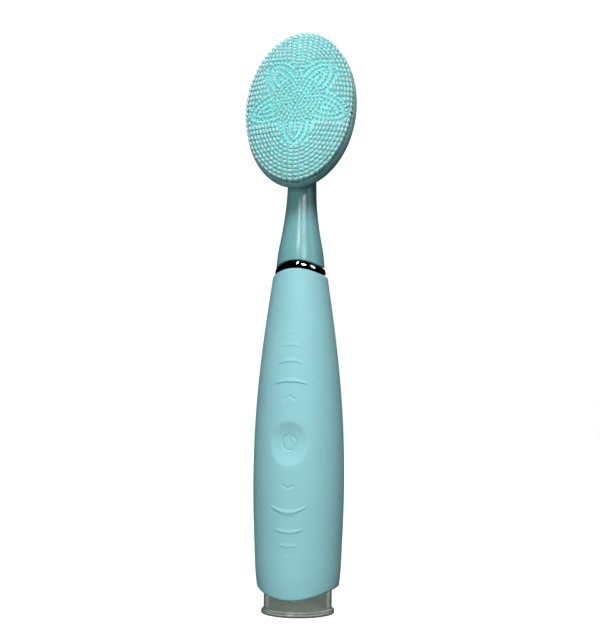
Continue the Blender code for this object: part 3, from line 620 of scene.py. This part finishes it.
def make_neck_solid():
    """Neck with its bore for the shaft socket, turned, arched at its lower edge and leaned back."""
    edge, bore, socket, socket_top = 0.35, 7.1, 3.0, 145.3
    outside = [(NECK_LOW + edge * (1 - cos(radians(a))), edge * (1 - sin(radians(a))))
               for a in (0, 18, 36, 54, 72)]
    heights = list(np.linspace(NECK_LOW + edge, 135.0, 26)) + list(np.linspace(135.6, NECK_TOP, 84))
    profile = [(0.0, NECK_TOP)]
    profile += [(float(smooth_curve(h, NECK_STATIONS)), h) for h in reversed(heights)]
    profile += [(float(smooth_curve(h, NECK_STATIONS)) - inset, h) for h, inset in reversed(outside)]
    profile += [(bore + 0.25, NECK_LOW), (bore, NECK_LOW + 0.25), (bore, 125.0), (socket, 130.0),
                (socket, socket_top), (0.0, socket_top)]

    def shape(x, y, z):
        radius = hypot(x, y)
        if radius < 1e-6:
            return x, y + float(smooth_curve(z, NECK_LEAN)) * (z > socket_top), z
        double_turn = (y * y - x * x) / (radius * radius)
        inner = radius < 7.5 and z < 150 and radius < float(smooth_curve(z, NECK_STATIONS)) - 0.8
        if inner:
            return x, y, z + TOP_ARCH * double_turn * float(fade(z, 125.0, NECK_LOW + 0.3))
        height = z + TOP_ARCH * double_turn * float(fade(z, 137.0, NECK_LOW))
        arched_to, plain = max(height, NECK_START), max(z, NECK_START)
        grown = float(smooth_curve(arched_to, NECK_STATIONS) - smooth_curve(plain, NECK_STATIONS))
        grown *= float(fade(z, NECK_TOP, 170.0))
        scale = (radius + grown) / radius
        return x * scale, y * scale + float(smooth_curve(arched_to, NECK_LEAN)), height

    return turned("neck_solid", profile, 144, 40, shape)


def make_dome_solid():
    """Domed back of the head as a closed solid."""
    rings, segments = 46, 160
    points = [(0.0, 0.0, SHELL_BASE)]
    for k in range(rings):
        turn = (pi / 2) * k / rings
        wide = cos(turn) ** (2 / DOME_POWER)
        deep = sin(turn) ** (2 / DOME_POWER)
        for m in range(segments):
            angle = 2 * pi * m / segments
            points.append((RIM_HALF_WIDTH * wide * cos(angle),
                           (RIM_HALF_WIDTH + FACE_STRETCH) * wide * sin(angle),
                           SHELL_BASE - SHELL_DEPTH * deep))
    points.append((0.0, 0.0, SHELL_BASE - SHELL_DEPTH))
    faces = []
    for m in range(segments):
        n = (m + 1) % segments
        faces.append((0, 1 + m, 1 + n))
        for k in range(rings - 1):
            a, b = 1 + k * segments, 1 + (k + 1) * segments
            faces.append((a + m, b + m, b + n, a + n))
        a = 1 + (rings - 1) * segments
        faces.append((a + m, len(points) - 1, a + n))
    return object_from("head_shell", face_to_world(points), faces)


def make_head_shell():
    """Neck and domed back in one glossy moulding, with a soft fillet where they meet."""
    shell = make_dome_solid()
    neck = make_neck_solid()
    union = shell.modifiers.new("join", "BOOLEAN")
    union.operation = "UNION"
    union.solver = "EXACT"
    union.object = neck
    bpy.context.view_layer.update()
    mesh = bpy.data.meshes.new_from_object(shell.evaluated_get(bpy.context.evaluated_depsgraph_get()))
    shell.modifiers.clear()
    shell.data = mesh
    bpy.data.objects.remove(neck)
    points = np.array([vertex.co for vertex in mesh.vertices]) / MM
    local = world_to_face(points)
    near = (np.abs(np.minimum(neck_distance(points), dome_distance(points))) < 0.15) & (points[:, 2] > 138)
    near &= local[:, 2] < SHELL_BASE - 0.02
    moved = points[near]
    for step in range(8):
        slope = gradient_of(head_distance, moved)
        moved -= (head_distance(moved) / np.maximum((slope ** 2).sum(axis=1), 0.2))[:, None] * slope
    points[near] = moved
    mesh.vertices.foreach_set("co", (points * MM).ravel())
    mesh.update()
    mesh.shade_smooth()
    mesh.set_sharp_from_angle(angle=radians(38))
    direction = gradient_of(head_distance, points)
    direction /= np.maximum(np.linalg.norm(direction, axis=1, keepdims=True), 1e-9)
    corner_vertex = np.zeros(len(mesh.loops), int)
    mesh.loops.foreach_get("vertex_index", corner_vertex)
    face_flags = []
    for face in mesh.polygons:
        face_flags.extend([all(near[v] for v in face.vertices)] * face.loop_total)
    custom = np.where(np.array(face_flags)[:, None], direction[corner_vertex], 0.0)
    mesh.normals_split_custom_set(custom.tolist())
    dress(shell, TEAL)
    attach(shell, "brush_head")
    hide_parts("head_body")


# ---------------------------------------------------------------- pad and bristles

def oval_ring(radius, out, segments):
    """Ring of points on the head's oval outline."""
    angles = np.linspace(0, 2 * pi, segments, endpoint=False)
    return np.stack([radius * np.cos(angles), (radius + FACE_STRETCH) * np.sin(angles),
                     np.full(segments, out)], axis=1)


def oval_solid(name, profile, segments=200):
    """Closed solid lofted through oval rings, capped by a point at each end where its radius is 0."""
    points, starts, faces = [], [], []
    for radius, out in profile:
        starts.append(len(points))
        if radius <= 0:
            points.append((0.0, 0.0, out))
        else:
            points.extend(oval_ring(radius, out, segments).tolist())
    for (first, second), (a, b) in zip(zip(profile, profile[1:]), zip(starts, starts[1:])):
        for m in range(segments):
            n = (m + 1) % segments
            if first[0] <= 0:
                faces.append((a, b + m, b + n))
            elif second[0] <= 0:
                faces.append((a + m, b, a + n))
            else:
                faces.append((a + m, b + m, b + n, a + n))
    if profile[0][0] > 0:
        a, b = starts[-1], starts[0]
        for m in range(segments):
            n = (m + 1) % segments
            faces.append((a + m, b + m, b + n, a + n))
    obj = object_from(name, face_to_world(points), faces)
    obj.data.set_sharp_from_angle(angle=radians(38))
    return obj


def bulge(radius):
    """Height of the domed bristle front above its rim, on the oval of this half width."""
    return PAD_BULGE * (1 - (radius / FACE_HALF_WIDTH) ** 2)


def oval_radius(x, y):
    """Half width of the oval outline that passes through a point of the face."""
    low, high = 0.0, 40.0
    for step in range(40):
        middle = (low + high) / 2
        outside = hypot(x / max(middle, 1e-9), y / (middle + FACE_STRETCH)) > 1.0
        low, high = (middle, high) if outside else (low, middle)
    return low


def make_pad():
    """Domed pad plate, and the skirt round it."""
    rim = RIM_HALF_WIDTH
    seam = FACE_HALF_WIDTH - 0.35
    reach = (0.0, 1.0, 2.5, 4.5, 7.0, 9.5, 12.0, 14.5, 16.5, seam - 0.5)
    profile = [(r, bulge(r) - BRISTLE_LENGTH) for r in reach]
    edge = bulge(seam) - BRISTLE_LENGTH
    profile += [(seam - 0.15, edge - 0.05), (seam, edge - 0.25), (seam, PAD_BACK), (0.0, PAD_BACK)]
    plate = dress(oval_solid("pad_plate", profile), AQUA_PLATE)
    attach(plate, "brush_head")
    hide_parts("bristle_pad")
    profile = [(seam + 0.02, LEDGE), (seam + 0.45, LEDGE), (seam + 0.60, LEDGE - 0.15), (rim - 0.22, -3.7),
               (rim - 0.04, -4.2), (rim, -4.42), (rim - 0.06, -4.6), (rim - 0.25, -4.7), (rim - 1.5, -4.7),
               (rim - 1.5, -3.25), (seam + 0.02, -3.1)]
    skirt = dress(oval_solid("pad_skirt", profile), AQUA_SKIRT)
    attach(skirt, "brush_head")


def row_spots():
    """Oblong bristles in rows that follow the oval outline: x, y, direction."""
    spots = []
    turns = np.linspace(-pi / 2, 0, 400)
    for k in range(ROWS):
        wide = OUTER_ROW[0] - ROW_INWARD[0] * k
        tall = OUTER_ROW[1] - ROW_INWARD[1] * k
        x, y = wide * np.cos(turns), tall * np.sin(turns)
        travelled = np.concatenate([[0.0], np.cumsum(np.hypot(np.diff(x), np.diff(y)))])
        count = OUTER_COUNT - k
        turn = np.interp((np.arange(count) + 0.5) / count * travelled[-1], travelled, turns)
        direction = np.arctan2(tall * np.cos(turn), -wide * np.sin(turn))
        for px, py, d in zip(wide * np.cos(turn), tall * np.sin(turn), direction):
            spots += [(px, py, d), (-px, py, -d), (px, -py, -d), (-px, -py, d)]
    return spots


def petal_reach(along, tip, half):
    """Half width of a petal's outline at a distance along the petal."""
    reach = np.clip((along - PETAL_WIDEST) / (tip - PETAL_WIDEST), 0, 1)
    return half * (1 - reach ** 2) ** 0.62


def petal_outline(level):
    """Points along one nested outline of a petal: distance along the petal and across it."""
    tip = PETAL_TIP - PETAL_INWARD[0] * level
    half = PETAL_HALF_WIDTH - PETAL_INWARD[1] * level
    along = np.concatenate([np.linspace(PETAL_START, PETAL_WIDEST, 40, endpoint=False),
                            PETAL_WIDEST + (tip - PETAL_WIDEST) * np.sin(np.linspace(0, pi / 2, 400))])
    across = petal_reach(along, tip, half)
    travelled = np.concatenate([[0.0], np.cumsum(np.hypot(np.diff(along), np.diff(across)))])
    stops = np.arange(travelled[-1], 0, -DOT_PITCH)
    side = [(float(np.interp(s, travelled, along)), float(np.interp(s, travelled, across))) for s in stops]
    return side + [(a, -c) for a, c in side[1:]]


def flower_spots():
    """Round bristles: rings in the middle, and five petals of nested outlines about them."""
    spots = [FLOWER_CENTRE]
    for ring in range(1, FLOWER_RINGS + 1):
        for k in range(6 * ring):
            angle = 2 * pi * k / (6 * ring) + FLOWER_TURN
            spots.append((FLOWER_CENTRE[0] + RING_STEP * ring * cos(angle),
                          FLOWER_CENTRE[1] + RING_STEP * ring * sin(angle)))
    for petal in range(PETALS):
        turn = -pi / 2 + 2 * pi * petal / PETALS
        for level in range(PETAL_LEVELS):
            for along, across in petal_outline(level):
                if hypot(along, across) > RING_STEP * FLOWER_RINGS + 0.9:
                    spots.append((FLOWER_CENTRE[0] + along * cos(turn) - across * sin(turn),
                                  FLOWER_CENTRE[1] + along * sin(turn) + across * cos(turn)))
    return spots


def in_flower(x, y, margin):
    """True where a point lies inside the flower's outline grown by a margin."""
    dx, dy = x - FLOWER_CENTRE[0], y - FLOWER_CENTRE[1]
    if hypot(dx, dy) < RING_STEP * FLOWER_RINGS + margin:
        return True
    for petal in range(PETALS):
        turn = -pi / 2 + 2 * pi * petal / PETALS
        along = dx * cos(turn) + dy * sin(turn)
        across = abs(-dx * sin(turn) + dy * cos(turn))
        tip = PETAL_TIP + margin
        if 4.0 < along < tip and across < petal_reach(along, tip, PETAL_HALF_WIDTH + margin):
            return True
    return False


def bristle_layout():
    """Every bristle as x, y, direction, half length and half width, without crowding."""
    kept = []
    places = np.zeros((0, 2))

    def nearest(x, y):
        return np.hypot(places[:, 0] - x, places[:, 1] - y).min() if len(places) else 99.0

    for x, y in flower_spots():
        if nearest(x, y) > 1.1:
            kept.append((x, y, 0.0, DOT_RADIUS, DOT_RADIUS))
            places = np.vstack([places, (x, y)])
    for x, y, direction in row_spots():
        shift = BAR_HALF_LENGTH - BAR_RADIUS
        ends = [(x + side * cos(direction) * shift, y + side * sin(direction) * shift) for side in (-1, 1)]
        if any(in_flower(*end, 0.8) for end in ends) or min(nearest(*end) for end in ends) < 0.95:
            continue
        kept.append((x, y, direction, BAR_HALF_LENGTH, BAR_RADIUS))
        places = np.vstack([places, *ends])
    for x, y in spare_spots():
        if nearest(x, y) > 1.42:
            kept.append((x, y, 0.0, DOT_RADIUS, DOT_RADIUS))
            places = np.vstack([places, (x, y)])
    return kept


def spare_spots():
    """A fine net of places inside the outline, for filling what the rows and petals leave bare."""
    step = 0.25
    limit = FACE_HALF_WIDTH - 1.0
    net = [(column * step, row * step) for row in range(-120, 121) for column in range(-80, 81)]
    inside = [(x, y) for x, y in net if hypot(x / limit, y / (limit + FACE_STRETCH)) < 1.0]
    return sorted(inside, key=lambda spot: (round(hypot(spot[0], spot[1] - FLOWER_CENTRE[1]), 1),
                                            abs(spot[0]), spot))


def bristle_section(half_length, half_width, segments):
    """Outline of a bristle: a round for equal halves, otherwise a rounded slot."""
    angles = np.linspace(0, 2 * pi, segments, endpoint=False)
    x, y = half_width * np.cos(angles), half_width * np.sin(angles)
    stretch = np.minimum(np.abs(np.cos(angles)) * 2.5, 1.0)
    x = x + np.sign(np.round(x, 6)) * (half_length - half_width) * stretch
    return np.stack([x, y], axis=1)


def make_bristles():
    """All bristles as one silicone moulding; each stands along the face's normal and has a round tip."""
    tip_turns = [radians(a) for a in (0, 28, 52, 74)]
    segments = 14
    points, faces, tips = [], [], []
    chance = np.random.default_rng(7)
    for x, y, direction, half_length, half_width in bristle_layout():
        section = bristle_section(half_length, half_width, segments)
        turn = np.array(((cos(direction), sin(direction)), (-sin(direction), cos(direction))))
        lean = chance.normal(0.0, 0.025, 2)
        radius = oval_radius(x, y)
        top = bulge(radius)
        root = min(top - BRISTLE_LENGTH - 0.3, LEDGE - 0.2 if radius > OUTER_ROW[0] - 0.5 else 0.0)
        length = top - root
        levels = [(root, 1.12, 0.0), (root + 0.45, 1.02, 0.05), (top - 0.9, 1.0, 0.45)]
        levels += [(top - half_width * (1 - sin(a)), cos(a), 0.7 + 0.3 * sin(a)) for a in tip_turns]
        start = len(points)
        for out, grown, tip in levels:
            shrink = half_width * (grown - 1.0)
            scaled = section * (1 + shrink / np.maximum(np.hypot(*section.T), 1e-6))[:, None]
            ring = scaled @ turn + (x, y) + lean * (out - root) / length
            points.extend((px, py, out) for px, py in ring)
            tips.extend([tip] * segments)
        crown = len(points)
        points.append((x + lean[0], y + lean[1], top))
        tips.append(1.0)
        foot = len(points)
        points.append((x, y, root))
        tips.append(0.0)
        for k in range(segments):
            m = (k + 1) % segments
            faces.append((foot, start + m, start + k))
            for level in range(len(levels) - 1):
                a, b = start + level * segments, start + (level + 1) * segments
                faces.append((a + k, a + m, b + m, b + k))
            a = start + (len(levels) - 1) * segments
            faces.append((a + k, a + m, crown))
    obj = object_from("bristles", face_to_world(points), faces)
    # tip runs from 0 at the root to 1 at the crown and weights the painted highlight on the bristle tips
    attribute = obj.data.attributes.new("tip", "FLOAT", "POINT")
    attribute.data.foreach_set("value", np.array(tips, np.float32))
    dress(obj, AQUA_BRISTLE)
    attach(obj, "brush_head")


# ---------------------------------------------------------------- CAD nodes that stay

def dress_cad_nodes():
    """Procedural materials for the nodes inside the handle and head."""
    looks = {
        "inner_barrel": grained("white_barrel", ((0.72, 0.73, 0.72), (0.80, 0.80, 0.78)),
                                (0.40, 0.55), 8.0, 0.3, 0.005),
        "top_cap": grained("black_cap", ((0.018, 0.018, 0.02), (0.03, 0.03, 0.032)),
                           (0.35, 0.5), 5.0, 0.2, 0.006),
        "lip_seal": grained("seal_rubber", ((0.015, 0.015, 0.016), (0.03, 0.03, 0.03)),
                            (0.6, 0.8), 3.0, 0.15, 0.01),
        "bottom_cap": grained("white_plug", ((0.62, 0.64, 0.63), (0.70, 0.71, 0.70)),
                              (0.35, 0.5), 6.0, 0.25, 0.005),
        "chassis": grained("grey_chassis", ((0.28, 0.30, 0.31), (0.36, 0.38, 0.39)),
                           (0.5, 0.65), 6.0, 0.25, 0.01),
        "battery": grained("cell_wrap", ((0.07, 0.20, 0.42), (0.09, 0.24, 0.50)),
                           (0.25, 0.4), 8.0, 0.4, 0.003),
        "steel": grained("machined_steel", ((0.48, 0.48, 0.50), (0.60, 0.60, 0.61)),
                         (0.22, 0.42), 4.0, 0.12, 0.002,
                         Metallic=1.0),
        "brass": grained("brass", ((0.62, 0.46, 0.20), (0.74, 0.56, 0.28)),
                         (0.25, 0.4), 3.0, 0.12, 0.002, Metallic=1.0),
        "copper": grained("wound_copper", ((0.60, 0.28, 0.14), (0.76, 0.40, 0.22)),
                          (0.3, 0.45), 1.2, 0.2, 0.02,
                          Metallic=1.0),
        "ferrite": grained("ferrite", ((0.06, 0.06, 0.065), (0.11, 0.11, 0.115)),
                           (0.5, 0.7), 2.0, 0.15, 0.02),
        "board": grained("solder_mask", ((0.015, 0.16, 0.07), (0.025, 0.22, 0.10)),
                         (0.3, 0.45), 3.0, 0.4, 0.004),
        "dark": grained("dark_component", ((0.02, 0.02, 0.022), (0.04, 0.04, 0.042)),
                        (0.4, 0.55), 2.0, 0.15, 0.006),
        "pale": grained("pale_component", ((0.66, 0.67, 0.66), (0.78, 0.78, 0.77)),
                        (0.4, 0.55), 3.0, 0.2, 0.005),
        "grey": grained("grey_component", ((0.26, 0.28, 0.29), (0.34, 0.36, 0.37)),
                        (0.45, 0.6), 4.0, 0.2, 0.008),
        "red": grained("red_insulation", ((0.50, 0.03, 0.02), (0.60, 0.05, 0.03)),
                       (0.4, 0.55), 3.0, 0.2, 0.004),
        "black": grained("black_insulation", ((0.015, 0.015, 0.015), (0.03, 0.03, 0.03)),
                         (0.4, 0.55), 3.0, 0.2, 0.004),
    }
    by_name = {
        "bottom_seal": "lip_seal", "motor_boot": "lip_seal", "charging_coil": "copper",
        "coil_ferrite": "ferrite",
        "coil_lead_1": "copper", "coil_lead_2": "copper", "battery_tab_positive": "steel",
        "battery_tab_negative": "steel", "battery_lead_positive": "red", "battery_lead_negative": "black",
        "circuit_board": "board", "controller_chip": "dark", "charge_chip": "dark", "indicator_led": "pale",
        "board_screw_1": "steel", "board_screw_2": "steel", "board_screw_3": "steel",
        "board_screw_4": "steel",
        "switch_up": "dark", "switch_power": "dark", "switch_down": "dark", "motor_can": "steel",
        "motor_end_plate": "pale", "rear_bush": "brass", "front_bush": "brass", "stator_coil": "copper",
        "motor_lead_1": "red", "motor_lead_2": "black", "drive_shaft": "steel", "rotor_magnet": "ferrite",
        "return_spring": "steel", "pad_carrier": "pale", "shaft_socket": "grey", "socket_clip": "steel",
        "plunger_up": "pale", "plunger_power": "pale", "plunger_down": "pale",
    }
    for name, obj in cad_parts.items():
        if obj.hide_render:
            continue
        dress(obj, looks[by_name.get(name, name)])


# ---------------------------------------------------------------- stage, lights, camera

def make_stage():
    """Plain white floor that curves up into a round backdrop."""
    turns = 96
    sweep = 0.5
    floor_reach = 2.2
    profile = [(0.3, 0.0), (1.0, 0.0), (floor_reach, 0.0)]
    profile += [(floor_reach + sweep * sin(radians(a)), sweep * (1 - cos(radians(a))))
                for a in range(15, 91, 15)]
    profile += [(floor_reach + sweep, 2.5)]
    points = [(0.0, 0.0, 0.0)]
    faces = []
    for radius, height in profile:
        around = [2 * pi * k / turns for k in range(turns)]
        points += [(radius * cos(angle), radius * sin(angle), height) for angle in around]
    for k in range(turns):
        m = (k + 1) % turns
        faces.append((0, 1 + k, 1 + m))
        for row in range(len(profile) - 1):
            a, b = 1 + row * turns, 1 + (row + 1) * turns
            faces.append((a + k, b + k, b + m, a + m))
    floor = object_from("floor", np.array(points) / MM, faces)
    look = bpy.data.materials.new("white_paper")
    look.use_nodes = True
    shader = look.node_tree.nodes["Principled BSDF"]
    shader.inputs["Base Color"].default_value = (0.25, 0.25, 0.25, 1.0)
    shader.inputs["Roughness"].default_value = 1.0
    shader.inputs["Specular IOR Level"].default_value = 0.0
    shader.inputs["Emission Color"].default_value = (1.0, 1.0, 1.0, 1.0)
    shader.inputs["Emission Strength"].default_value = 0.93
    dress(floor, look)
    floor.visible_diffuse = False
    floor.visible_glossy = False
    floor.visible_shadow = False


LIGHTS_AIM = 0.11


def soft_light(name, azimuth, elevation, distance, size, power, diffuse=True, glossy=True, roll=0):
    """Oval softbox that faces the handle; azimuth 0 is in front, 90 on the +X side."""
    data = bpy.data.lights.new(name, "AREA")
    data.shape = "ELLIPSE"
    data.size, data.size_y = size
    data.energy = power
    lamp = bpy.data.objects.new(name, data)
    bpy.context.scene.collection.objects.link(lamp)
    a, e = radians(azimuth), radians(elevation)
    place = Vector((sin(a) * cos(e), -cos(a) * cos(e), sin(e))) * distance
    lamp.location = place + Vector((0.0, 0.0, LIGHTS_AIM))
    facing = (-place).to_track_quat("-Z", "Y").to_matrix()
    lamp.rotation_euler = (facing @ Matrix.Rotation(radians(roll), 3, "Z")).to_euler()
    lamp.visible_camera = False
    lamp.visible_diffuse = diffuse
    lamp.visible_glossy = glossy


def make_lights():
    """Key and low fill for the even light, three small ones for the highlights, and one behind."""
    soft_light("key_light", 22, 52, 2.5, (1.15, 0.95), 58.0, glossy=False)
    soft_light("low_fill", -14, 0, 2.2, (1.2, 1.2), 15.0, glossy=False)
    soft_light("ring_light", 31, 26, 1.6, (0.60, 0.28), 6.0, diffuse=False)
    soft_light("streak_light", 0, 37, 0.9, (0.07, 0.34), 2.4, diffuse=False, roll=-15)
    soft_light("right_spot", 80, 24, 1.0, (0.42, 0.38), 0.55, diffuse=False)
    soft_light("rear_light", 193, 32, 1.5, (0.7, 1.0), 13.0)
    world = bpy.data.worlds.new("studio")
    bpy.context.scene.world = world
    world.use_nodes = True
    background = world.node_tree.nodes["Background"]
    background.inputs["Color"].default_value = (0.95, 0.98, 1.0, 1.0)
    background.inputs["Strength"].default_value = 0.10
    world.cycles_visibility.glossy = False


def make_camera():
    """Camera at the photograph's viewing angle, looking up by 2 degrees."""
    distance = 441.1
    azimuth = radians(13.21)
    height = 76.46
    pitch, roll = radians(2.0), radians(-0.48)
    data = bpy.data.cameras.new("camera")
    data.sensor_width = 36.0
    data.lens = 69.92676
    data.shift_x = 0.000829
    data.shift_y = 0.050861
    camera = bpy.data.objects.new("camera", data)
    bpy.context.scene.collection.objects.link(camera)
    camera.location = Vector((sin(azimuth) * distance, -cos(azimuth) * distance, height)) * MM
    camera.rotation_euler = (radians(90) + pitch, roll, azimuth)
    data.clip_start = 0.01
    bpy.context.scene.camera = camera
    bpy.context.scene.view_settings.view_transform = "Standard"


make_camera()
make_handle()
make_ring()
make_stand()
make_head_shell()
make_pad()
make_bristles()
dress_cad_nodes()
make_stage()
make_lights()
